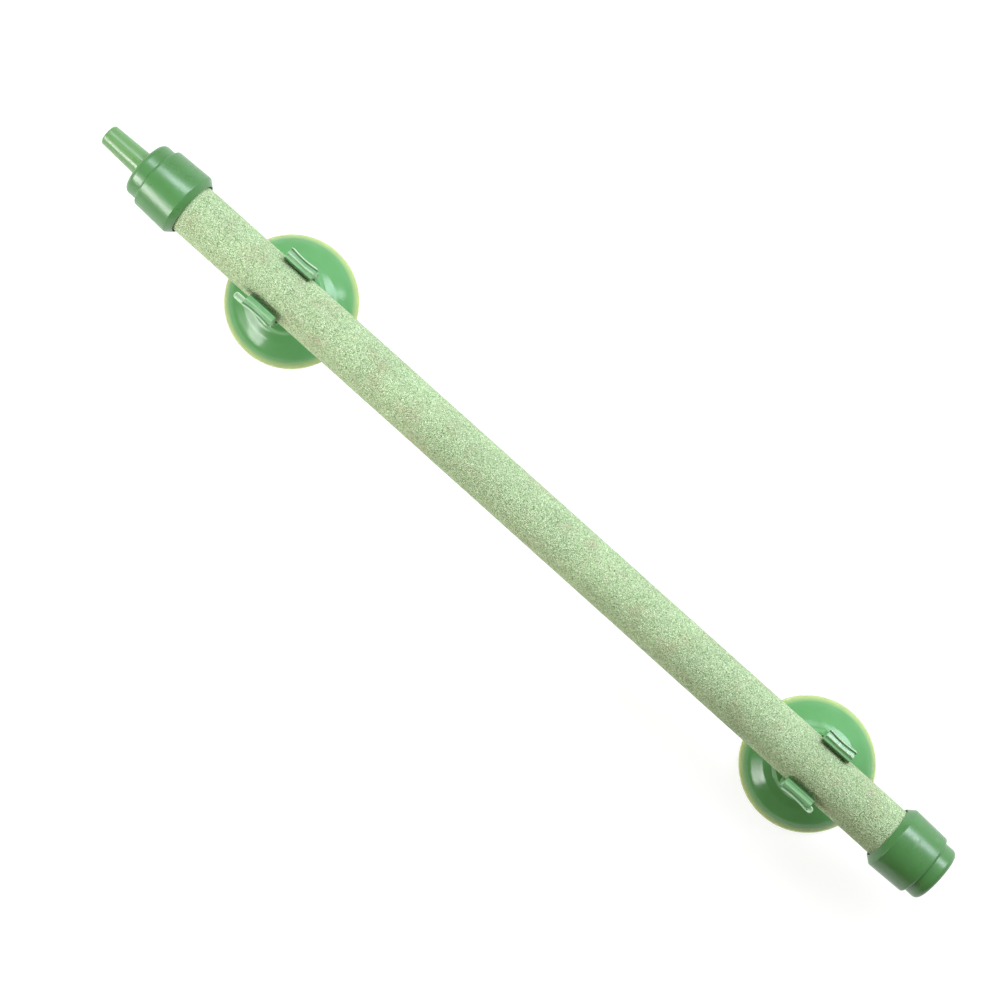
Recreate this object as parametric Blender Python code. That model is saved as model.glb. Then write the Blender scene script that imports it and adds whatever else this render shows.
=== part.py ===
"""Aquarium air stone: a porous bubble bar with moulded end caps, held by two clips on suction cups.

Metres, +Z up. The bar runs along X with its hose nipple at -X. It lies in two open-topped clips,
each on its own suction cup, and the rims of both cups stand on z = 0. The origin is on that plane,
under the middle of the bar.
"""

import math

import bmesh
import bpy
from mathutils import Vector

MM = 0.001
SEGMENTS = 40
GAP = 0.3 * MM

# The porous bar
BAR_LENGTH = 200 * MM
TUBE_RADIUS = 5.0 * MM
TUBE_BORE = 2.1 * MM
AXIS_HEIGHT = 17.0 * MM

# The end caps, one moulding in two versions. Depths run inwards from the cap's flat outer face.
CAP_DEPTH = 11.65 * MM
COLLAR_RADIUS = 5.5 * MM
COLLAR_DEPTH = 2.9 * MM
SKIRT_RADIUS = 6.2 * MM
MOUTH_RADIUS = 6.45 * MM
MOUTH_CHAMFER = 1.25 * MM
SHOULDER_LENGTH = 1.1 * MM
SOCKET_RADIUS = TUBE_RADIUS + GAP
LEDGE_DEPTH = 3.8 * MM
RECESS_RADIUS = 4.2 * MM
RECESS_DEPTH = 1.25 * MM
EDGE_ROUND = 1.0 * MM

# The hose nipple, for airline of 4 mm bore
NIPPLE_LENGTH = 9.0 * MM
NIPPLE_TIP = 2.05 * MM
NIPPLE_BASE = 2.4 * MM
NIPPLE_BORE = 1.05 * MM
NIPPLE_ROUND = 0.45 * MM

# The adhesive ring between the tube's end and the cap's ledge
SEAL_THICKNESS = 0.8 * MM
SEAL_INNER = 4.3 * MM
SEAL_OUTER = 5.0 * MM

# The suction cups
CUP_RADIUS = 12.7 * MM
CUP_RIM = 0.6 * MM
CUP_HOLLOW = 3.6 * MM
BOSS_FOOT_RADIUS = 7.15 * MM
BOSS_FOOT_HEIGHT = 5.25 * MM
BOSS_RADIUS = 6.45 * MM
BOSS_HEIGHT = 6.2 * MM
NECK_RADIUS = 2.3 * MM
HEAD_RADIUS = 3.5 * MM
HEAD_BOTTOM = 8.3 * MM
HEAD_TOP = 10.1 * MM
HEAD_ROUND = 0.9 * MM

# The clips
CLIP_WIDTH = 6.2 * MM
JAW_INNER = TUBE_RADIUS + GAP
JAW_OUTER = 6.5 * MM
JAW_OPENING = math.radians(56)
LIP_RIDGE = (5.75 * MM, 4.5 * MM)
LIP_EDGE = (6.55 * MM, 3.9 * MM)
LIP_FLARE = 0.45 * MM
PLATE_RADIUS = 5.2 * MM
PLATE_BOTTOM = BOSS_HEIGHT + GAP
PLATE_TOP = HEAD_BOTTOM - GAP
WEB_INNER = HEAD_RADIUS + GAP
WEB_OUTER = 4.9 * MM
WEB_TOP = AXIS_HEIGHT - 4.2 * MM
HOLE_RADIUS = NECK_RADIUS + GAP

# Where things stand along the bar
BAR_END = BAR_LENGTH / 2
INLET_FACE = -BAR_END + NIPPLE_LENGTH
END_FACE = BAR_END
INLET_CLIP_X = -57.3 * MM
END_CLIP_X = 71.5 * MM


def clear_scene():
    for obj in list(bpy.data.objects):
        bpy.data.objects.remove(obj, do_unlink=True)


def plastic(name, colour, roughness, transmission=0.0):
    material = bpy.data.materials.new(name)
    material.use_nodes = True
    shader = material.node_tree.nodes["Principled BSDF"]
    shader.inputs["Base Color"].default_value = (*colour, 1)
    shader.inputs["Roughness"].default_value = roughness
    shader.inputs["Metallic"].default_value = 0
    shader.inputs["Transmission Weight"].default_value = transmission
    return material


def add_object(name, bm, material, location=(0, 0, 0)):
    mesh = bpy.data.meshes.new(name)
    bm.to_mesh(mesh)
    bm.free()
    mesh.shade_smooth()
    mesh.set_sharp_from_angle(angle=math.radians(35))
    obj = bpy.data.objects.new(name, mesh)
    obj.location = location
    if material:
        mesh.materials.append(material)
    bpy.context.scene.collection.objects.link(obj)
    return obj


def add_cutter(name, bm, parent):
    cutter = add_object(name, bm, None)
    cutter.parent = parent
    cutter.hide_render = True
    cutter.display_type = "WIRE"
    return cutter


def boolean(obj, other, operation):
    modifier = obj.modifiers.new(other.name, "BOOLEAN")
    modifier.operation = operation
    modifier.solver = "EXACT"
    modifier.object = other


def arc(centre, radius, start, end, steps):
    """Points round a centre, from one angle to another in degrees."""
    angles = [math.radians(start + (end - start) * i / steps) for i in range(steps + 1)]
    return [(centre[0] + radius * math.cos(a), centre[1] + radius * math.sin(a)) for a in angles]


def turn(outline, axis, closed=False):
    """Turns an outline of (along, radius) points about X or Z. An open outline ends on the axis."""
    bm = bmesh.new()
    if axis == "X":
        points = [Vector((along, radius, 0)) for along, radius in outline]
        direction = (1, 0, 0)
    else:
        points = [Vector((radius, 0, along)) for along, radius in outline]
        direction = (0, 0, 1)
    verts = [bm.verts.new(point) for point in points]
    edges = [bm.edges.new(pair) for pair in zip(verts, verts[1:])]
    if closed:
        edges.append(bm.edges.new((verts[-1], verts[0])))
    bmesh.ops.spin(
        bm, geom=verts + edges, cent=(0, 0, 0), axis=direction, angle=math.tau, steps=SEGMENTS, use_merge=True
    )
    bmesh.ops.remove_doubles(bm, verts=bm.verts, dist=0.001 * MM)
    bmesh.ops.recalc_face_normals(bm, faces=bm.faces)
    return bm


def porous_tube(material):
    start = INLET_FACE + LEDGE_DEPTH + SEAL_THICKNESS + 2 * GAP
    end = END_FACE - LEDGE_DEPTH - SEAL_THICKNESS - 2 * GAP
    edge = 0.3 * MM
    outline = [
        (start, TUBE_BORE),
        (start, TUBE_RADIUS - edge),
        (start + edge, TUBE_RADIUS),
        (end - edge, TUBE_RADIUS),
        (end, TUBE_RADIUS - edge),
        (end, TUBE_BORE),
    ]
    return add_object("porous_tube", turn(outline, "X", closed=True), material, (0, 0, AXIS_HEIGHT))


def cap_outside():
    """Cap outline as (depth, radius): rounded outer edge, collar, rounded shoulder, skirt, mouth bevel."""
    corner = (EDGE_ROUND, COLLAR_RADIUS - EDGE_ROUND)
    outline = arc(corner, EDGE_ROUND, 180, 90, 4)
    outline.append((COLLAR_DEPTH, COLLAR_RADIUS))
    rise = SKIRT_RADIUS - COLLAR_RADIUS
    for depth, radius in arc((1, 0), 1, 180, 90, 4)[1:]:
        outline.append((COLLAR_DEPTH + depth * SHOULDER_LENGTH, COLLAR_RADIUS + radius * rise))
    bevel_start = CAP_DEPTH - MOUTH_CHAMFER
    outline += [
        (bevel_start - 0.25 * MM, MOUTH_RADIUS),
        (bevel_start + 0.2 * MM, MOUTH_RADIUS - 0.08 * MM),
        (CAP_DEPTH, SOCKET_RADIUS + 0.1 * MM),
    ]
    return outline


def cap_inside():
    """The rest of the outline: the socket, the ledge that the tube seats on, and the recess."""
    return [
        (CAP_DEPTH, SOCKET_RADIUS),
        (LEDGE_DEPTH, SOCKET_RADIUS),
        (LEDGE_DEPTH, RECESS_RADIUS),
        (RECESS_DEPTH, RECESS_RADIUS),
    ]


def inlet_cap(material):
    tip = -NIPPLE_LENGTH
    nipple = [
        (RECESS_DEPTH, NIPPLE_BORE),
        (tip, NIPPLE_BORE),
        *arc((tip + NIPPLE_ROUND, NIPPLE_TIP - NIPPLE_ROUND), NIPPLE_ROUND, 180, 95, 3),
        (-0.3 * MM, NIPPLE_BASE),
        (0, NIPPLE_BASE + 0.3 * MM),
    ]
    outline = nipple + cap_outside() + cap_inside()
    placed = [(INLET_FACE + depth, radius) for depth, radius in outline]
    return add_object("inlet_cap", turn(placed, "X", closed=True), material, (0, 0, AXIS_HEIGHT))


def end_cap(material):
    outline = [(0, 0)] + cap_outside() + cap_inside() + [(RECESS_DEPTH, 0)]
    placed = [(END_FACE - depth, radius) for depth, radius in outline]
    return add_object("end_cap", turn(placed, "X"), material, (0, 0, AXIS_HEIGHT))


def seal_ring(name, face, inwards, material):
    """The cured adhesive between a cap's ledge and the end of the tube."""
    near = face + inwards * (LEDGE_DEPTH + GAP)
    far = near + inwards * SEAL_THICKNESS
    outline = [(near, SEAL_INNER), (near, SEAL_OUTER), (far, SEAL_OUTER), (far, SEAL_INNER)]
    return add_object(name, turn(outline, "X", closed=True), material, (0, 0, AXIS_HEIGHT))


def dome(start, end, bulge, steps):
    """Points on a bowed curve between two (height, radius) points, bulging outwards."""
    start = Vector(start)
    end = Vector(end)
    across = Vector((end.y - start.y, start.x - end.x)).normalized()
    if across.x < 0:
        across.negate()
    points = []
    for i in range(steps + 1):
        t = i / steps
        point = start.lerp(end, t) + across * bulge * 4 * t * (1 - t)
        points.append(tuple(point))
    return points


def suction_cup(name, x, material):
    """A soft cup turned in one piece: hollow underside, boss, and the knob that the clip turns on."""
    head = arc((HEAD_TOP - HEAD_ROUND, HEAD_RADIUS - HEAD_ROUND), HEAD_ROUND, 0, 90, 3)
    outline = [
        (HEAD_TOP, 0),
        *head,
        (HEAD_BOTTOM + 0.3 * MM, HEAD_RADIUS),
        (HEAD_BOTTOM, HEAD_RADIUS - 0.3 * MM),
        (HEAD_BOTTOM, NECK_RADIUS),
        (BOSS_HEIGHT, NECK_RADIUS),
        (BOSS_HEIGHT, BOSS_RADIUS),
        (BOSS_FOOT_HEIGHT, BOSS_FOOT_RADIUS),
        *dome((BOSS_FOOT_HEIGHT - 0.25 * MM, BOSS_FOOT_RADIUS + 0.1 * MM), (CUP_RIM, CUP_RADIUS), 0.75 * MM, 5),
        (0, CUP_RADIUS),
        *dome((0, CUP_RADIUS - 0.5 * MM), (CUP_HOLLOW, 3 * MM), 0.55 * MM, 5),
        (CUP_HOLLOW, 0),
    ]
    return add_object(name, turn(outline, "Z"), material, (x, 0, 0))


def jaw_section(flare):
    """Closed (y, z) section of the jaw about the bar's axis, its lips spread outwards by flare."""
    opening = math.degrees(JAW_OPENING)
    inner = arc((0, 0), JAW_INNER, -90, 90 - opening, 10)
    outer = arc((0, 0), JAW_OUTER, 90 - opening - 12, -90, 9)
    nose = (JAW_INNER * math.sin(JAW_OPENING) + 0.12 * MM, JAW_INNER * math.cos(JAW_OPENING) + 0.28 * MM)
    lip = [
        nose,
        (LIP_RIDGE[0] + 0.6 * flare - 0.15 * MM, LIP_RIDGE[1] - 0.12 * MM),
        (LIP_RIDGE[0] + 0.6 * flare + 0.15 * MM, LIP_RIDGE[1]),
        (LIP_EDGE[0] + flare, LIP_EDGE[1] + 0.15 * MM),
        (LIP_EDGE[0] + flare, LIP_EDGE[1] - 0.2 * MM),
    ]
    right = inner[1:] + lip + outer[:-1]
    left_outer = [(-y, z) for y, z in reversed(outer[:-1])]
    left_lip = [(-y, z) for y, z in reversed(lip)]
    left_inner = [(-y, z) for y, z in reversed(inner[1:])]
    return [inner[0]] + right + [outer[-1]] + left_outer + left_lip + left_inner


def jaw():
    """The C-shaped jaw, its section carried along X, the lips spreading towards both ends."""
    bm = bmesh.new()
    stations = 6
    loops = []
    for i in range(stations + 1):
        along = 2 * i / stations - 1
        section = jaw_section(LIP_FLARE * along * along)
        x = along * CLIP_WIDTH / 2
        loops.append([bm.verts.new((x, y, z)) for y, z in section])
    for loop, following in zip(loops, loops[1:]):
        count = len(loop)
        for i in range(count):
            j = (i + 1) % count
            bm.faces.new((loop[i], loop[j], following[j], following[i]))
    bm.faces.new(loops[0])
    bm.faces.new(loops[-1])
    bmesh.ops.recalc_face_normals(bm, faces=bm.faces)
    return bm


def block(low, high):
    low = Vector(low)
    high = Vector(high)
    bm = bmesh.new()
    bmesh.ops.create_cube(bm, size=1)
    bmesh.ops.scale(bm, vec=high - low, verts=bm.verts)
    bmesh.ops.translate(bm, vec=(low + high) / 2, verts=bm.verts)
    return bm


def disc(radius, bottom, top):
    bm = bmesh.new()
    bmesh.ops.create_cone(
        bm, cap_ends=True, segments=SEGMENTS, radius1=radius, radius2=radius, depth=top - bottom
    )
    bmesh.ops.translate(bm, vec=(0, 0, (top + bottom) / 2), verts=bm.verts)
    return bm


def clip(name, x, material):
    """A sprung clip: a jaw on two webs, and a plate with a hole for the cup's neck. The knob sits between."""
    body = add_object(name, jaw(), material, (x, 0, AXIS_HEIGHT))
    plate_bottom = PLATE_BOTTOM - AXIS_HEIGHT
    plate_top = PLATE_TOP - AXIS_HEIGHT
    plate = add_cutter(f"{name}_plate", disc(PLATE_RADIUS, plate_bottom, plate_top), body)
    boolean(body, plate, "UNION")
    half_width = CLIP_WIDTH / 2 - 0.1 * MM
    web_bottom = (plate_bottom + plate_top) / 2
    for side, inner, outer in (("left", -WEB_OUTER, -WEB_INNER), ("right", WEB_INNER, WEB_OUTER)):
        low = (-half_width, inner, web_bottom)
        high = (half_width, outer, WEB_TOP - AXIS_HEIGHT)
        web = add_cutter(f"{name}_{side}_web", block(low, high), body)
        boolean(body, web, "UNION")
    hole = add_cutter(f"{name}_hole", disc(HOLE_RADIUS, plate_bottom - MM, plate_top + MM), body)
    boolean(body, hole, "DIFFERENCE")
    return body


def build():
    clear_scene()
    stone = plastic("porous_stone", (0.50, 0.67, 0.42), 0.95)
    cap_plastic = plastic("cap_plastic", (0.11, 0.31, 0.11), 0.35)
    adhesive = plastic("clear_adhesive", (0.72, 0.70, 0.58), 0.30, 0.4)
    clip_plastic = plastic("clip_plastic", (0.22, 0.46, 0.28), 0.22, 0.4)
    soft_vinyl = plastic("soft_vinyl", (0.20, 0.50, 0.24), 0.15, 0.5)
    porous_tube(stone)
    inlet_cap(cap_plastic)
    end_cap(cap_plastic)
    seal_ring("inlet_seal", INLET_FACE, 1, adhesive)
    seal_ring("end_seal", END_FACE, -1, adhesive)
    clip("inlet_clip", INLET_CLIP_X, clip_plastic)
    clip("end_clip", END_CLIP_X, clip_plastic)
    suction_cup("inlet_suction_cup", INLET_CLIP_X, soft_vinyl)
    suction_cup("end_suction_cup", END_CLIP_X, soft_vinyl)


build()
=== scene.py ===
"""The looks of an aquarium air stone: a porous bar with moulded caps, in two clips on suction cups.

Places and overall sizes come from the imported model. Metres, +Z up, the bar along X.
"""

import math

import bmesh
import bpy
from mathutils import Matrix, Vector, noise


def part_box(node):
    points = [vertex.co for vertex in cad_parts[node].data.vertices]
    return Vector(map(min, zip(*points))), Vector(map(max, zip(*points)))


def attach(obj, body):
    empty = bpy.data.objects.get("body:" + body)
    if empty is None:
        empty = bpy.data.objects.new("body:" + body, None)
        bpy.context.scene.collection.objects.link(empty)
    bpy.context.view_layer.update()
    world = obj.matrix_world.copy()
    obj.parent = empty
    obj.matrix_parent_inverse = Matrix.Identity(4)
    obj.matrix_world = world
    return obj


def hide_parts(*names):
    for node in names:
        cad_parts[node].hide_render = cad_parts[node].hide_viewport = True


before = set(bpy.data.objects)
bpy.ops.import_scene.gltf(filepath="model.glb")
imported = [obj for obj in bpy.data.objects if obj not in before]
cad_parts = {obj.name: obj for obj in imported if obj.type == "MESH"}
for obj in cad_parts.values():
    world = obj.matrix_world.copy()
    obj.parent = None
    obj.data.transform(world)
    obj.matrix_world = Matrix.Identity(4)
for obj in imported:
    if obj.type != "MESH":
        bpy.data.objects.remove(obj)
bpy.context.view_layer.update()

MM = 0.001
ROUND_STEPS = 128
GAP = 0.3 * MM
ON_AXIS = 1e-9  # a smaller radius than this is on the axis
SHARP_ANGLE = 38  # degrees, on the pieces joined by a Boolean

# Driving sizes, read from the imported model
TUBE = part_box("porous_tube")
INLET_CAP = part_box("inlet_cap")
END_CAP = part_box("end_cap")
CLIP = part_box("inlet_clip")
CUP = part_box("inlet_suction_cup")
AXIS_Z = (TUBE[0].z + TUBE[1].z) / 2
TUBE_RADIUS = (TUBE[1].z - TUBE[0].z) / 2
CAP_DEPTH = (END_CAP[1] - END_CAP[0]).x
CAP_RADIUS = (END_CAP[1] - END_CAP[0]).z / 2
NIPPLE_LENGTH = (INLET_CAP[1] - INLET_CAP[0]).x - CAP_DEPTH
CUP_RADIUS = (CUP[1] - CUP[0]).x / 2
CUP_TOP = CUP[1].z
LIP_REACH = CLIP[1].y
LIP_TOP = CLIP[1].z - AXIS_Z
PLATE_BOTTOM = CLIP[0].z - AXIS_Z
PLATE_RADIUS = (CLIP[1] - CLIP[0]).x / 2

# Sizes of the clip's jaw that its shape and its colours share, from the bar's axis
CLIP_WIDTH = 6.2 * MM
LIP_SPREAD = 0.3 * MM
LIP_FOOT = 3.0 * MM
NOSE_TOP = 4.66 * MM
GROOVE = 6.12 * MM
BEAD = 6.42 * MM


# ---------------------------------------------------------------- outlines


def filleted(points, closed=False):
    """Rounds the corners of an outline. A point is (a, b) or (a, b, fillet)."""
    corners = [(Vector(point[:2]), point[2] if len(point) > 2 else 0) for point in points]
    last = len(corners) - 1
    outline = []
    for i, (corner, fillet) in enumerate(corners):
        if not fillet or (not closed and i in (0, last)):
            outline.append(tuple(corner))
            continue
        before = (corners[i - 1][0] - corner).normalized()
        after = (corners[(i + 1) % len(corners)][0] - corner).normalized()
        half = before.angle(after) / 2
        reach = fillet / math.tan(half)
        centre = corner + (before + after).normalized() * fillet / math.sin(half)
        start = corner + before * reach - centre
        sweep = start.angle_signed(corner + after * reach - centre)
        steps = max(3, int(abs(sweep) / math.radians(12)))
        for k in range(steps + 1):
            outline.append(tuple(centre + Matrix.Rotation(-sweep * k / steps, 2) @ start))
    return outline


def finer(outline, longest):
    """Splits the straight stretches of an outline so that none is longer than that."""
    result = [outline[0]]
    for start, end in zip(outline, outline[1:]):
        count = max(1, math.ceil(math.dist(start, end) / longest))
        for k in range(1, count + 1):
            share = k / count
            result.append(tuple(a + (b - a) * share for a, b in zip(start, end)))
    return result


def inset(section, distance):
    """Moves a closed outline into its own material by that distance."""
    count = len(section)
    edges = [(section[i - 1], section[i]) for i in range(count)]
    area = sum(start[0] * end[1] - end[0] * start[1] for start, end in edges)
    side = math.copysign(distance, area)
    result = []
    for i, point in enumerate(section):
        before = Vector(point) - Vector(section[i - 1])
        after = Vector(section[(i + 1) % count]) - Vector(point)
        run = before.normalized() + after.normalized()
        result.append(Vector(point) + Vector((-run.y, run.x)).normalized() * side)
    return result


def rectangle(middle, size, fillet):
    """A rectangle with rounded corners, anticlockwise."""
    x, y = middle
    w, h = size[0] / 2, size[1] / 2
    corners = [(x - w, y - h), (x + w, y - h), (x + w, y + h), (x - w, y + h)]
    return filleted([(*corner, fillet) for corner in corners], closed=True)


def arc(radius, start, end, steps):
    """Points round the origin, from one angle to another in degrees."""
    angles = [math.radians(start + (end - start) * i / steps) for i in range(steps + 1)]
    return [(radius * math.cos(a), radius * math.sin(a)) for a in angles]


# ---------------------------------------------------------------- meshes


def new_object(name, bm, location=(0, 0, 0)):
    """Turns a bmesh into a smoothly shaded object in the scene."""
    mesh = bpy.data.meshes.new(name)
    bmesh.ops.recalc_face_normals(bm, faces=bm.faces)
    bm.to_mesh(mesh)
    bm.free()
    mesh.shade_smooth()
    obj = bpy.data.objects.new(name, mesh)
    obj.location = location
    bpy.context.scene.collection.objects.link(obj)
    return obj


def turned_point(along, radius, angle, axis):
    """The point that far along X or Z, at that radius and angle round it."""
    across = (radius * math.cos(angle), radius * math.sin(angle))
    return Vector((along, *across) if axis == "X" else (*across, along))


def turned(name, outline, axis, location=(0, 0, 0), shape=None, segments=ROUND_STEPS):
    """Turns an outline of (along, radius) points about X or Z into one closed mesh.

    An outline that starts off the axis is closed on itself. shape(point) may move each point.
    """
    bm = bmesh.new()
    rings = []
    for along, radius in outline:
        count = 1 if radius < ON_AXIS else segments
        ring = []
        for k in range(count):
            point = turned_point(along, radius, math.tau * k / segments, axis)
            ring.append(bm.verts.new(shape(point) if shape else point))
        rings.append(ring)
    pairs = list(zip(rings, rings[1:]))
    if outline[0][1] > ON_AXIS:
        pairs.append((rings[-1], rings[0]))
    for ring, following in pairs:
        for k in range(segments):
            quad = [ring[k % len(ring)], ring[(k + 1) % len(ring)]]
            quad += [following[(k + 1) % len(following)], following[k % len(following)]]
            bm.faces.new(list(dict.fromkeys(quad)))
    return new_object(name, bm, location)


def slab(name, outline, low, high, edge, dish=()):
    """A flat piece with that outline in XY and rounded edges, from z = low to z = high.

    dish holds further loops over its top, each (distance in from the outline, depth below the top).
    """
    bm = bmesh.new()
    loops = []
    for side, z in ((-1, low), (1, high)):
        angles = [math.radians(a) for a in (90, 60, 30, 0)]
        for angle in angles if side < 0 else angles[::-1]:
            loop = inset(outline, edge * (1 - math.cos(angle)))
            height = z - side * edge * (1 - math.sin(angle))
            loops.append([bm.verts.new((*point, height)) for point in loop])
    for reach, depth in dish:
        loops.append([bm.verts.new((*point, high - depth)) for point in inset(outline, reach)])
    bridge(bm, loops)
    return new_object(name, bm)


def bridge(bm, loops):
    """Joins loops of the same number of points into one closed skin."""
    for loop, following in zip(loops, loops[1:]):
        for i in range(len(loop)):
            j = (i + 1) % len(loop)
            bm.faces.new((loop[i], loop[j], following[j], following[i]))
    bm.faces.new(loops[0])
    bm.faces.new(loops[-1])


def fused(obj, others):
    """Joins closed solids into one, and removes the ones that were joined to it."""
    for other in others:
        modifier = obj.modifiers.new(other.name, "BOOLEAN")
        modifier.operation = "UNION"
        modifier.solver = "MANIFOLD"
        modifier.object = other
    bpy.context.view_layer.update()
    evaluated = obj.evaluated_get(bpy.context.evaluated_depsgraph_get())
    mesh = bpy.data.meshes.new_from_object(evaluated)
    mesh.name = obj.name
    obj.modifiers.clear()
    obj.data = mesh
    for other in others:
        bpy.data.objects.remove(other, do_unlink=True)
    mesh.shade_smooth()
    mesh.set_sharp_from_angle(angle=math.radians(SHARP_ANGLE))
    return obj


def finish_piece(obj, body, node, material):
    """Gives a piece its material, and puts it in its CAD node's place on that body."""
    obj.data.materials.clear()
    obj.data.materials.append(material)
    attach(obj, body)
    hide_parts(node)


# ---------------------------------------------------------------- materials


class Finish:
    """A material with a Principled shader, and short ways to add nodes to it."""

    def __init__(self, name):
        self.material = bpy.data.materials.new(name)
        self.material.use_nodes = True
        self.tree = self.material.node_tree
        self.shader = self.tree.nodes["Principled BSDF"]
        self.place = self.tree.nodes.new("ShaderNodeTexCoord").outputs["Object"]

    def add(self, kind, inputs, **settings):
        node = self.tree.nodes.new(kind)
        for key, value in settings.items():
            setattr(node, key, value)
        for key, value in inputs.items():
            self.put(value, node.inputs[key])
        return node

    def put(self, value, socket):
        if isinstance(value, bpy.types.NodeSocket):
            self.tree.links.new(value, socket)
        elif socket.type == "RGBA" and len(value) == 3:
            socket.default_value = (*value, 1)
        else:
            socket.default_value = value

    def set(self, **values):
        for key, value in values.items():
            self.put(value, self.shader.inputs[key.replace("_", " ")])

    def stretched(self, stretch):
        inputs = {0: self.place, 1: stretch}
        return self.add("ShaderNodeVectorMath", inputs, operation="MULTIPLY").outputs[0]

    def noise(self, size, detail=3, stretch=(1, 1, 1)):
        """Soft noise with features about that size, in metres."""
        inputs = {"Vector": self.stretched(stretch), "Scale": 1 / size, "Detail": detail}
        return self.add("ShaderNodeTexNoise", inputs).outputs["Fac"]

    def cells(self, size, output="Color", stretch=(1, 1, 1)):
        """Grains about that size: the colour of each, or the distance from the nearest centre."""
        inputs = {"Vector": self.stretched(stretch), "Scale": 1 / size}
        return self.add("ShaderNodeTexVoronoi", inputs).outputs[output]

    def ramp(self, value, stops):
        node = self.add("ShaderNodeValToRGB", {"Fac": value})
        elements = node.color_ramp.elements
        while len(elements) < len(stops):
            elements.new(0.5)
        for element, (at, colour) in zip(elements, stops):
            element.position = at
            element.color = (*colour, 1)
        return node.outputs["Color"]

    def mix(self, share, a, b, blend="MIX"):
        node = self.add("ShaderNodeMix", {}, data_type="RGBA", blend_type=blend)
        self.put(share, node.inputs["Factor"])
        colours = [socket for socket in node.inputs if socket.type == "RGBA"]
        self.put(a, colours[0])
        self.put(b, colours[1])
        return [socket for socket in node.outputs if socket.type == "RGBA"][0]

    def bump(self, height, strength, distance, under=None):
        inputs = {"Height": height, "Strength": strength, "Distance": distance}
        if under:
            inputs["Normal"] = under
        return self.add("ShaderNodeBump", inputs).outputs["Normal"]

    def maths(self, operation, a, b):
        return self.add("ShaderNodeMath", {0: a, 1: b}, operation=operation).outputs[0]

    def remap(self, value, low, high, to_low=0.0, to_high=1.0):
        inputs = {"Value": value, "From Min": low, "From Max": high}
        inputs |= {"To Min": to_low, "To Max": to_high}
        return self.add("ShaderNodeMapRange", inputs).outputs["Result"]

    def grey(self, value):
        return self.add("ShaderNodeCombineColor", {0: value, 1: value, 2: value}).outputs[0]

    def along(self, axis):
        return self.add("ShaderNodeSeparateXYZ", {0: self.place}).outputs[axis]

    def away(self, axis):
        """Distance from the object's own middle plane across that axis."""
        return self.add("ShaderNodeMath", {0: self.along(axis)}, operation="ABSOLUTE").outputs[0]

    def radius(self):
        """Distance from the object's own Z axis."""
        flat = self.stretched((1, 1, 0))
        return self.add("ShaderNodeVectorMath", {0: flat}, operation="LENGTH").outputs["Value"]


def stone_finish():
    """Green sand bonded with resin: pale and dark grains and tan patches, with painted shade in the
    pores and in the crevices between grains.
    """
    m = Finish("porous_stone")
    grain = m.add("ShaderNodeSeparateColor", {0: m.cells(0.17 * MM)})
    stops = [
        (0.0, (0.19, 0.31, 0.14)),
        (0.25, (0.355, 0.515, 0.27)),
        (0.7, (0.47, 0.62, 0.355)),
        (1.0, (0.66, 0.78, 0.52)),
    ]
    colour = m.ramp(grain.outputs[0], stops)
    colour = m.mix(m.remap(grain.outputs[2], 0.55, 1.0, 0.0, 0.35), colour, (0.50, 0.45, 0.36))
    tan = m.remap(m.noise(4.5 * MM, 4), 0.51, 0.73, 0.0, 0.75)
    tan = m.maths("MULTIPLY", tan, m.remap(grain.outputs[1], 0.4, 0.9, 0.15, 1.0))
    colour = m.mix(tan, colour, (0.42, 0.35, 0.23))
    clouds = m.remap(m.noise(11 * MM, 3), 0.3, 0.7, 0.92, 1.06)
    # Painted shade: darker in the sunken crevices where grains meet.
    painted_gap_shade = m.remap(m.cells(0.23 * MM, "Distance"), 0.3, 0.75, 1.08, 0.72)
    colour = m.mix(1.0, colour, m.grey(m.maths("MULTIPLY", clouds, painted_gap_shade)), "MULTIPLY")
    pits = m.remap(m.noise(0.21 * MM, 2), 0.28, 0.38, 1.0, 0.0)
    # Painted shade: the sunken pores are darkened.
    colour = m.mix(m.maths("MULTIPLY", pits, 0.5), colour, (0.11, 0.17, 0.08))
    skin = m.bump(m.noise(0.14 * MM, 2), 0.6, 0.04 * MM)
    skin = m.bump(m.cells(0.23 * MM, "Distance"), 1.0, -0.13 * MM, skin)
    skin = m.bump(pits, 0.8, -0.10 * MM, skin)
    m.set(Base_Color=colour, Normal=skin, Roughness=m.remap(m.noise(0.7 * MM), 0.3, 0.7, 0.82, 1.0))
    m.set(Specular_IOR_Level=0.3)
    return m.material


def cap_finish(face):
    """Satin moulded plastic with flow marks, a faint grain and scuffs.

    face is where the cap's outer face lies along X. The thin wall of the nipple beyond it is
    painted paler: painted light, standing for light shining through the thin plastic.
    """
    m = Finish("cap_plastic")
    flow = m.remap(m.noise(6 * MM, 4, (0.4, 1, 1)), 0.3, 0.7)
    colour = m.mix(flow, (0.058, 0.184, 0.052), (0.074, 0.222, 0.068))
    # Painted light: the nipple beyond the face is paler, for light shining through its thin wall.
    thin = m.remap(m.along("X"), face + 0.6 * MM, face - 0.6 * MM)
    colour = m.mix(thin, colour, (0.128, 0.275, 0.10))
    scuffs = m.remap(m.noise(1.4 * MM, 6, (1, 0.25, 0.25)), 0.62, 0.74)
    colour = m.mix(m.maths("MULTIPLY", scuffs, 0.12), colour, (0.28, 0.42, 0.27))
    roughness = m.remap(m.noise(2.4 * MM, 4), 0.3, 0.7, 0.26, 0.34)
    roughness = m.maths("ADD", roughness, m.maths("MULTIPLY", scuffs, 0.18))
    skin = m.bump(m.noise(0.19 * MM, 3), 0.25, 0.02 * MM)
    skin = m.bump(m.noise(4 * MM, 2), 0.4, 0.06 * MM, skin)
    m.set(Base_Color=colour, Roughness=roughness, Normal=skin, IOR=1.58)
    m.set(Subsurface_Weight=0.2, Subsurface_Radius=(0.4, 1.0, 0.4), Subsurface_Scale=0.8 * MM)
    return m.material


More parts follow.
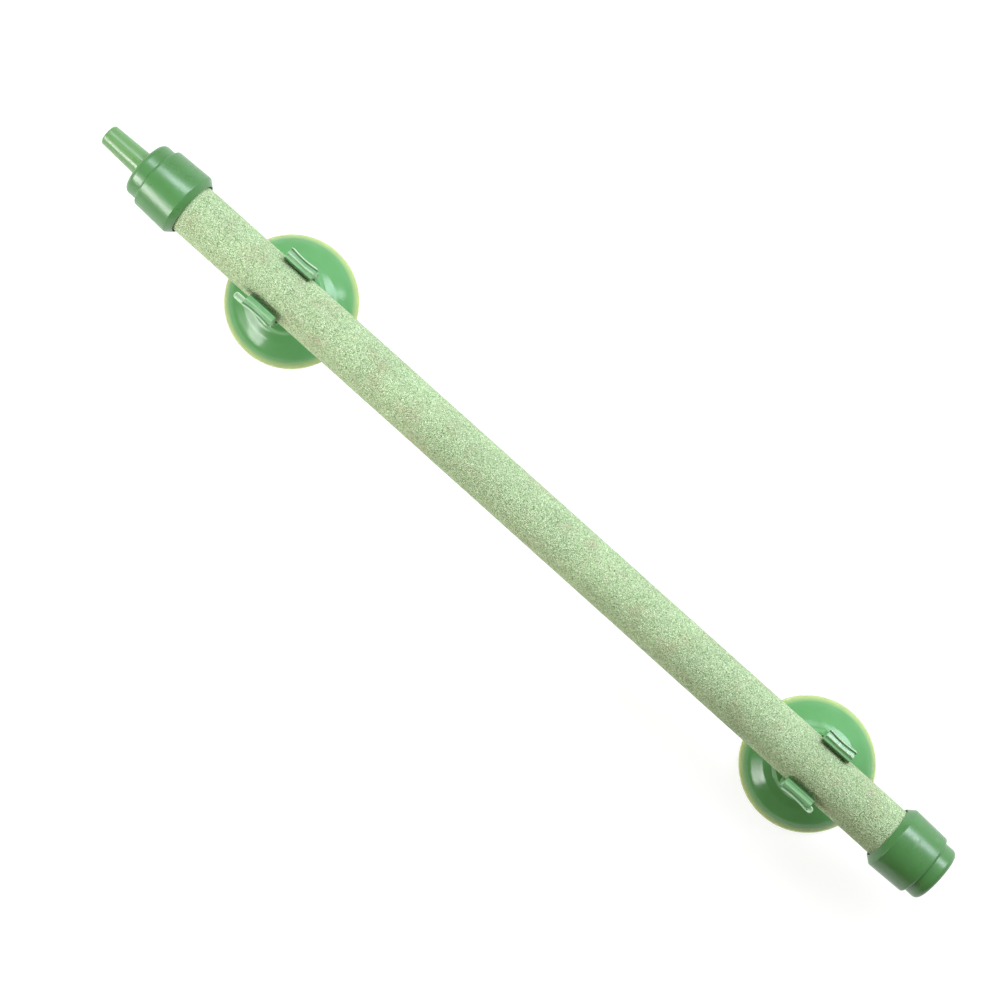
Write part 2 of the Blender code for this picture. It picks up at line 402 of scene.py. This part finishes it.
def clip_finish():
    """Clear green polypropylene, glossy, with fine moulding lines along the jaw.

    Shade is painted dark under the nose and in the groove, and highlights are painted pale on the
    crests and the ear. The pale bead is partly thinner plastic and partly a painted highlight.
    """
    m = Finish("clip_plastic")
    flow = m.remap(m.noise(2 * MM, 4, (0.25, 1, 1)), 0.3, 0.7)
    colour = m.mix(flow, (0.20, 0.45, 0.195), (0.28, 0.54, 0.275))
    flare = m.maths("POWER", m.remap(m.away("X"), 0, CLIP_WIDTH / 2), 2)
    across = m.maths("SUBTRACT", m.away("Y"), m.maths("MULTIPLY", flare, 0.25 * MM))
    height = m.along("Z")
    lip = m.remap(height, LIP_FOOT, LIP_FOOT + 0.2 * MM)
    top = m.remap(height, LIP_TOP - 0.50 * MM, LIP_TOP - 0.38 * MM)
    # Painted highlight: a pale line along the top of the lip's crest.
    painted_crest_highlight = m.remap(height, LIP_TOP - 0.12 * MM, LIP_TOP - 0.04 * MM)
    # Painted shade: dark on the nose's inner face, where it meets the bar.
    nose = m.remap(m.away("Y"), NOSE_TOP - 0.06 * MM, NOSE_TOP + 0.08 * MM, 1.0, 0.0)
    # Painted shade: dark in the groove between the ridge and the bead.
    groove = m.remap(across, GROOVE, GROOVE + 0.08 * MM)
    # The bead's top edge is paler: partly thinner plastic, partly a painted highlight.
    bead_pale_and_highlight = m.maths("MULTIPLY", m.remap(across, BEAD + 0.02 * MM, BEAD + 0.12 * MM), top)
    # Painted highlight: the ear is painted pale, and its top rim paler still.
    ear = m.remap(m.away("X"), CLIP_WIDTH / 2, CLIP_WIDTH / 2 + 0.2 * MM)
    pale_edge_and_highlight = m.maths("MAXIMUM", bead_pale_and_highlight, m.maths("MULTIPLY", ear, top))
    # Painted light: highlights on the crest and the ear, shade under the nose and in the groove,
    # and the bead partly a painted highlight.
    painted_light_tints = [
        (painted_crest_highlight, 0.55, (0.50, 0.68, 0.47)),
        (m.maths("MULTIPLY", lip, nose), 0.85, (0.02, 0.11, 0.02)),
        (m.maths("MULTIPLY", lip, groove), 0.75, (0.05, 0.17, 0.06)),
        (m.maths("MULTIPLY", lip, ear), 1.0, (0.40, 0.58, 0.38)),
        (pale_edge_and_highlight, 1.0, (0.54, 0.73, 0.48)),
    ]
    for share, strength, tint in painted_light_tints:
        colour = m.mix(m.maths("MULTIPLY", share, strength), colour, tint)
    skin = m.bump(m.noise(0.38 * MM, 2, (0.05, 1, 1)), 0.4, 0.03 * MM)
    skin = m.bump(m.noise(0.17 * MM, 2), 0.2, 0.015 * MM, skin)
    m.set(Base_Color=colour, Normal=skin)
    m.set(Roughness=m.remap(m.noise(1.1 * MM), 0.3, 0.7, 0.10, 0.22))
    m.set(Transmission_Weight=0.3, IOR=1.49)
    m.set(Subsurface_Weight=0.25, Subsurface_Radius=(0.5, 1.0, 0.6), Subsurface_Scale=0.8 * MM)
    return m.material


def vinyl_finish():
    """Soft translucent green vinyl. The thin rim is yellower and lighter: partly the thin vinyl's
    own tint, partly painted light shining through it.
    """
    m = Finish("soft_vinyl")
    flow = m.remap(m.noise(8 * MM, 3), 0.3, 0.7)
    colour = m.mix(flow, (0.102, 0.300, 0.102), (0.123, 0.337, 0.128))
    rim = m.remap(m.radius(), CUP_RADIUS - 1.2 * MM, CUP_RADIUS)
    rim = m.maths("POWER", rim, 1.3)
    # Painted light: the rim is painted lighter and yellower, partly its own tint, partly for light
    # shining through it.
    colour = m.mix(rim, colour, (0.76, 0.86, 0.36))
    skin = m.bump(m.noise(1.1 * MM, 3), 0.2, 0.03 * MM)
    skin = m.bump(m.noise(7 * MM, 2), 0.5, 0.08 * MM, skin)
    m.set(Base_Color=colour, Normal=skin)
    m.set(Roughness=m.remap(m.noise(1.6 * MM, 4), 0.3, 0.7, 0.12, 0.22))
    m.set(Transmission_Weight=m.maths("MULTIPLY", rim, 0.55), IOR=1.45)
    m.set(Subsurface_Weight=m.remap(rim, 0.0, 1.0, 0.25, 0.9))
    m.set(Subsurface_Radius=(0.8, 1.2, 0.6), Subsurface_Scale=1.0 * MM)
    return m.material


def adhesive_finish():
    """Cured clear adhesive, slightly yellowed, with trapped bubbles."""
    m = Finish("adhesive")
    bubbles = m.remap(m.cells(0.4 * MM, "Distance"), 0.15, 0.3, 1.0, 0.0)
    colour = m.mix(m.noise(1.2 * MM), (0.70, 0.66, 0.50), (0.80, 0.77, 0.62))
    colour = m.mix(bubbles, colour, (0.92, 0.90, 0.82))
    m.set(Base_Color=colour, Normal=m.bump(bubbles, 0.5, 0.08 * MM))
    m.set(Roughness=m.remap(m.noise(0.8 * MM), 0.3, 0.7, 0.2, 0.4))
    m.set(Transmission_Weight=0.4, IOR=1.5)
    return m.material


# ---------------------------------------------------------------- the bar


def grain_height(point):
    """How far the stone's surface stands out there: round grains, uneven packing and pits."""
    distances, _ = noise.voronoi(point / (0.5 * MM))
    grain = 0.5 - min(distances[0], 1.0)
    packing = noise.noise(point / (1.9 * MM))
    pit = min(0.0, noise.noise(point / (0.7 * MM)) + 0.45)
    return (0.035 * grain + 0.02 * packing + 0.25 * pit) * MM


def porous_tube():
    """The stone tube, open from end to end, with the grain in its outer surface."""
    step = 0.25 * MM
    bore_step = 6 * MM
    edge = 0.5 * MM
    bore = 2.1 * MM
    low = TUBE[0].x
    high = TUBE[1].x
    skin = TUBE_RADIUS - 0.02 * MM
    corners = [(low, bore), (low, skin, edge), (high, skin, edge), (high, bore)]
    outside = finer(filleted(corners), step)
    inside = finer([(high, bore), (low, bore)], bore_step)[1:-1]

    def grainy(point):
        flat = Vector((0, point.y, point.z))
        radius = flat.length
        if radius < skin - edge:
            return point
        stood = min(radius + grain_height(point), TUBE_RADIUS)
        return Vector((point.x, 0, 0)) + flat * stood / radius

    segments = int(math.tau * TUBE_RADIUS / step)
    return turned("stone", outside + inside, "X", (0, 0, AXIS_Z), grainy, segments)


def cap_outline(nipple):
    """A cap's outline as (depth, radius), depth running inwards from its outer face."""
    socket = TUBE_RADIUS + GAP
    collar = 5.5 * MM
    collar_depth = 2.9 * MM
    skirt = 6.2 * MM
    bevel = 1.25 * MM
    ledge = 3.8 * MM
    recess = 4.2 * MM
    recess_depth = 1.25 * MM
    outer = [
        (0, collar, 1.0 * MM),
        (collar_depth, collar, 0.22 * MM),
        (collar_depth + 0.12 * MM, skirt, 0.4 * MM),
        (CAP_DEPTH - bevel, CAP_RADIUS, 0.25 * MM),
        (CAP_DEPTH, socket + 0.15 * MM, 0.07 * MM),
        (CAP_DEPTH, socket, 0.05 * MM),
        (ledge, socket, 0.1 * MM),
        (ledge, recess, 0.1 * MM),
        (recess_depth, recess, 0.4 * MM),
    ]
    if not nipple:
        return filleted([(0, 0)] + outer + [(recess_depth, 0)])
    bore = 1.05 * MM
    tip = 2.05 * MM
    root = 2.4 * MM
    start = [
        (recess_depth, bore + 0.3 * MM),
        (recess_depth - 0.3 * MM, bore),
        (-NIPPLE_LENGTH + 0.2 * MM, bore),
        (-NIPPLE_LENGTH, bore + 0.2 * MM, 0.1 * MM),
        (-NIPPLE_LENGTH, tip, 0.45 * MM),
        (0, root, 0.15 * MM),
    ]
    return filleted(start + outer)


def inlet_cap():
    """The cap with the hose nipple, at the bar's -X end."""
    face = INLET_CAP[0].x + NIPPLE_LENGTH
    outline = [(face + depth, radius) for depth, radius in cap_outline(True)]
    return turned("cap_with_nipple", outline, "X", (0, 0, AXIS_Z))


def end_cap():
    """The blind cap, at the bar's +X end."""
    face = END_CAP[1].x
    outline = [(face - depth, radius) for depth, radius in cap_outline(False)]
    return turned("cap_blind", outline, "X", (0, 0, AXIS_Z))


# ---------------------------------------------------------------- clips and cups


def jaw_half():
    """Half of the jaw's section, (y, z) about the bar's axis, up its inside and down its outside.

    The lip has a rounded nose that grips the bar, a ridge, a groove and a beaded edge.
    """
    inner = TUBE_RADIUS + GAP
    wall = 1.2 * MM
    reach = LIP_REACH - LIP_SPREAD
    lip = filleted(
        [
            arc(inner, 29, 31, 1)[-1],
            (4.30 * MM, LIP_FOOT, 0.1 * MM),
            (4.32 * MM, LIP_TOP - 1.15 * MM, 0.15 * MM),
            (NOSE_TOP, LIP_TOP - 0.30 * MM, 0.12 * MM),
            (5.12 * MM, LIP_TOP - 0.40 * MM, 0.14 * MM),
            (5.50 * MM, LIP_TOP, 0.14 * MM),
            (GROOVE, LIP_TOP - 0.28 * MM, 0.10 * MM),
            (6.26 * MM, LIP_TOP - 0.50 * MM, 0.10 * MM),
            (BEAD, LIP_TOP - 0.22 * MM, 0.11 * MM),
            (reach, LIP_TOP - 0.25 * MM, 0.13 * MM),
            (reach + 0.03 * MM, LIP_TOP - 0.85 * MM, 0.13 * MM),
            (6.1 * MM, 2.8 * MM, 0.5 * MM),
            arc(inner + wall, 18, 16, 1)[-1],
        ]
    )
    return arc(inner, -90, 30, 22)[:-1] + lip + arc(inner + wall, 16, -90, 20)[1:]


def jaw(name, width):
    """The C-shaped jaw, its section carried along X, the lips spreading towards both ends."""
    stations = 32
    edge = 0.07 * MM
    nose = 4.9 * MM
    spread_above = 2 * MM
    corner = 0.6 * MM
    half = jaw_half()
    section = half + [(-y, z) for y, z in reversed(half[1:-1])]
    straight = width / 2 - edge
    turns = (0.4, 0.8, 1.2, math.pi / 2)
    ends = [(straight + edge * math.sin(a), edge * (1 - math.cos(a))) for a in turns]
    slices = [(straight * (2 * i / stations - 1), 0) for i in range(stations + 1)]
    slices = [(-x, depth) for x, depth in reversed(ends)] + slices + ends
    bm = bmesh.new()
    loops = []
    for x, depth in slices:
        loop = []
        past = max(0, abs(x) - (width / 2 - corner))
        rounding = corner - math.sqrt(corner ** 2 - past ** 2)
        for y, z in inset(section, depth):
            lip_share = (abs(y) - nose) / (LIP_REACH - LIP_SPREAD - nose)
            lip_share = max(0, lip_share) if z > spread_above else 0
            out = lip_share * (LIP_SPREAD * (2 * x / width) ** 2 - rounding)
            loop.append(bm.verts.new((x, y + math.copysign(out, y), z)))
        loops.append(loop)
    bridge(bm, loops)
    return new_object(name, bm)


def clip(name, node, ear_side, ear_length):
    """A sprung clip in one moulding: the jaw, two webs, and a plate round the cup's neck.

    A small dished ear stands out from one lip, beyond the jaw's end on the side ear_side, -1 or 1.
    """
    low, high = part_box(node)
    body = jaw(name, CLIP_WIDTH)
    plate_top = PLATE_BOTTOM + 1.5 * MM
    hole = 2.6 * MM
    edge = 0.2 * MM
    web_middle = 4.375 * MM
    web_size = (CLIP_WIDTH - 0.2 * MM, 1.05 * MM)
    web_top = -4.4 * MM
    ear_width = 1.3 * MM
    ear_thickness = 0.63 * MM
    ear_top = LIP_TOP - 0.22 * MM
    ear_inset = 0.72 * MM
    ear_overlap = 0.9 * MM
    plate = filleted(
        [
            (PLATE_BOTTOM, hole, edge),
            (PLATE_BOTTOM, PLATE_RADIUS, edge),
            (plate_top, PLATE_RADIUS, edge),
            (plate_top, hole, edge),
        ],
        closed=True,
    )
    parts = [turned(f"{name}_plate", plate, "Z", segments=96)]
    for side in (-1, 1):
        web = rectangle((0, side * web_middle), web_size, 0.25 * MM)
        web_bottom = (PLATE_BOTTOM + plate_top) / 2
        parts.append(slab(f"{name}_web_{side + 1}", web, web_bottom, web_top, edge))
    ear_root = CLIP_WIDTH / 2 - ear_overlap
    ear_tip = CLIP_WIDTH / 2 + ear_length
    ear_middle = (ear_side * (ear_root + ear_tip) / 2, -LIP_REACH + ear_inset)
    ear = rectangle(ear_middle, (ear_tip - ear_root, ear_width), 0.6 * MM)
    dish = [
        (0.19 * MM, 0),
        (0.24 * MM, 0.06 * MM),
        (0.30 * MM, 0.22 * MM),
        (0.38 * MM, 0.28 * MM),
    ]
    parts.append(slab(f"{name}_ear", ear, ear_top - ear_thickness, ear_top, 0.15 * MM, dish))
    fused(body, parts)
    body.location = ((low.x + high.x) / 2, 0, AXIS_Z)
    return body


def suction_cup(name, node):
    """A soft cup turned in one piece: hollow underside, dome, boss, neck and knob."""
    low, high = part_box(node)
    neck = 2.3 * MM
    knob = 3.5 * MM
    knob_bottom = 8.3 * MM
    boss = 6.45 * MM
    boss_top = 6.2 * MM
    hollow = 3.6 * MM
    outline = filleted(
        [
            (CUP_TOP, 0),
            (CUP_TOP, knob, 0.9 * MM),
            (knob_bottom, knob, 0.35 * MM),
            (knob_bottom, neck, 0.3 * MM),
            (boss_top, neck, 0.35 * MM),
            (boss_top, boss, 0.25 * MM),
            (5.3 * MM, 6.95 * MM, 0.3 * MM),
            (4.6 * MM, 8.5 * MM, 3.0 * MM),
            (2.95 * MM, 11.0 * MM, 5.0 * MM),
            (0.8 * MM, CUP_RADIUS - 0.05 * MM, 0.5 * MM),
            (0.4 * MM, CUP_RADIUS, 0.2 * MM),
            (0, CUP_RADIUS - 0.1 * MM, 0.15 * MM),
            (0, CUP_RADIUS - 0.5 * MM, 0.1 * MM),
            (2.6 * MM, 8.3 * MM, 9.0 * MM),
            (hollow, 4.2 * MM, 4.0 * MM),
            (hollow, 0),
        ]
    )
    middle = ((low.x + high.x) / 2, (low.y + high.y) / 2, 0)
    return turned(name, finer(outline, 0.5 * MM), "Z", middle)


# ---------------------------------------------------------------- studio

FLOOR_REACH = 6
DARK_SIDE = (0.10, 0.065, 0.0)
BRIGHT_SIDE = (0.80, 0.78, 0.70)
BACKDROP = (0.92, 0.93, 0.93)


def floor():
    """A plain pale floor that lights itself evenly, so that shadows on it stay faint."""
    bm = bmesh.new()
    bmesh.ops.create_grid(bm, x_segments=1, y_segments=1, size=FLOOR_REACH)
    obj = new_object("floor", bm)
    m = Finish("floor")
    m.set(Base_Color=(0.28, 0.28, 0.28), Roughness=0.9, Specular_IOR_Level=0.0)
    m.set(Emission_Color=(1, 1, 1), Emission_Strength=0.82)
    obj.data.materials.append(m.material)


def surroundings():
    """Light from all round that grows towards +Y, and a pale backdrop in the camera's view."""
    world = bpy.data.worlds.new("studio")
    world.use_nodes = True
    bpy.context.scene.world = world
    tree = world.node_tree
    nodes = tree.nodes
    direction = nodes.new("ShaderNodeTexCoord").outputs["Generated"]
    parts = nodes.new("ShaderNodeSeparateXYZ")
    rise = nodes.new("ShaderNodeMapRange")
    rise.inputs["From Min"].default_value = -0.5
    rise.inputs["From Max"].default_value = 0.9
    ramp = nodes.new("ShaderNodeValToRGB")
    ramp.color_ramp.elements[0].color = (*DARK_SIDE, 1)
    ramp.color_ramp.elements[1].color = (*BRIGHT_SIDE, 1)
    camera_ray = nodes.new("ShaderNodeLightPath").outputs["Is Camera Ray"]
    seen = nodes.new("ShaderNodeMix")
    seen.data_type = "RGBA"
    seen.inputs["B"].default_value = (*BACKDROP, 1)
    tree.links.new(direction, parts.inputs[0])
    tree.links.new(parts.outputs["Y"], rise.inputs["Value"])
    tree.links.new(rise.outputs["Result"], ramp.inputs["Fac"])
    tree.links.new(camera_ray, seen.inputs["Factor"])
    tree.links.new(ramp.outputs["Color"], seen.inputs["A"])
    tree.links.new(seen.outputs["Result"], nodes["Background"].inputs["Color"])


def softboxes():
    """A large light behind the bar, and a narrow one low beside the end with the nipple."""
    area_light(
        "back_softbox",
        location=(0.0, 0.41, 0.50),
        target=(0, 0, AXIS_Z),
        width_axis=(0.84, 0.54, 0),
        size=(0.85, 0.20),
        power=5.4,
        colour=(0.90, 1.0, 1.1),
    )
    area_light(
        "side_softbox",
        location=(-0.20, -0.232, 0.165),
        target=(-0.12, 0, 0.02),
        width_axis=(0.87, -0.49, 0),
        size=(0.32, 0.11),
        power=0.21,
        spread=64,
    )


def area_light(name, location, target, width_axis, size, power, spread=180, colour=(1, 1, 1)):
    """A soft rectangular light, its width along width_axis. Its beam spreads that many degrees."""
    light = bpy.data.lights.new(name, "AREA")
    light.shape = "RECTANGLE"
    light.size, light.size_y = size
    light.energy = power
    light.color = colour
    light.spread = math.radians(spread)
    obj = bpy.data.objects.new(name, light)
    back = (Vector(location) - Vector(target)).normalized()
    obj.matrix_world = aimed(Vector(location), back, Vector(width_axis))
    obj.visible_camera = False
    bpy.context.scene.collection.objects.link(obj)


def aimed(location, back, across):
    """The placing of a camera or light that looks along -back, with its own X along across."""
    right = (across - back * back.dot(across)).normalized()
    turn = Matrix((right, back.cross(right), back)).transposed()
    return Matrix.Translation(location) @ turn.to_4x4()


def camera():
    """Looks down on the bar from the clips' open side, the bar running down to the right."""
    data = bpy.data.cameras.new("camera")
    data.sensor_width = 36
    data.lens = 92.1
    obj = bpy.data.objects.new("camera", data)
    place = Vector((19.5, -13.0, 476.1)) * MM
    aim = Vector((-2.6, -2.0, 17.0)) * MM
    turn = math.radians(41.9)
    across = Vector((math.cos(turn), math.sin(turn), 0))
    obj.matrix_world = aimed(place, (place - aim).normalized(), across)
    bpy.context.scene.collection.objects.link(obj)
    bpy.context.scene.camera = obj


def main():
    camera()
    floor()
    surroundings()
    softboxes()
    bpy.context.scene.view_settings.view_transform = "Standard"
    cap = cap_finish(INLET_CAP[0].x + NIPPLE_LENGTH)
    clip_plastic = clip_finish()
    vinyl = vinyl_finish()
    adhesive = adhesive_finish()
    finish_piece(porous_tube(), "bar", "porous_tube", stone_finish())
    finish_piece(inlet_cap(), "bar", "inlet_cap", cap)
    finish_piece(end_cap(), "bar", "end_cap", cap)
    ears = (("inlet", -1, 2.2 * MM), ("end", 1, 0.9 * MM))
    for end, ear_side, ear_length in ears:
        jaw_clip = clip(f"{end}_bar_clip", f"{end}_clip", ear_side, ear_length)
        finish_piece(jaw_clip, f"{end}_clip", f"{end}_clip", clip_plastic)
        cup = suction_cup(f"{end}_vinyl_cup", f"{end}_suction_cup")
        finish_piece(cup, f"{end}_cup", f"{end}_suction_cup", vinyl)
        # The adhesive ring inside the cap keeps its CAD shape, and only takes a material.
        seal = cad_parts[f"{end}_seal"]
        seal.data.materials.clear()
        seal.data.materials.append(adhesive)


main()
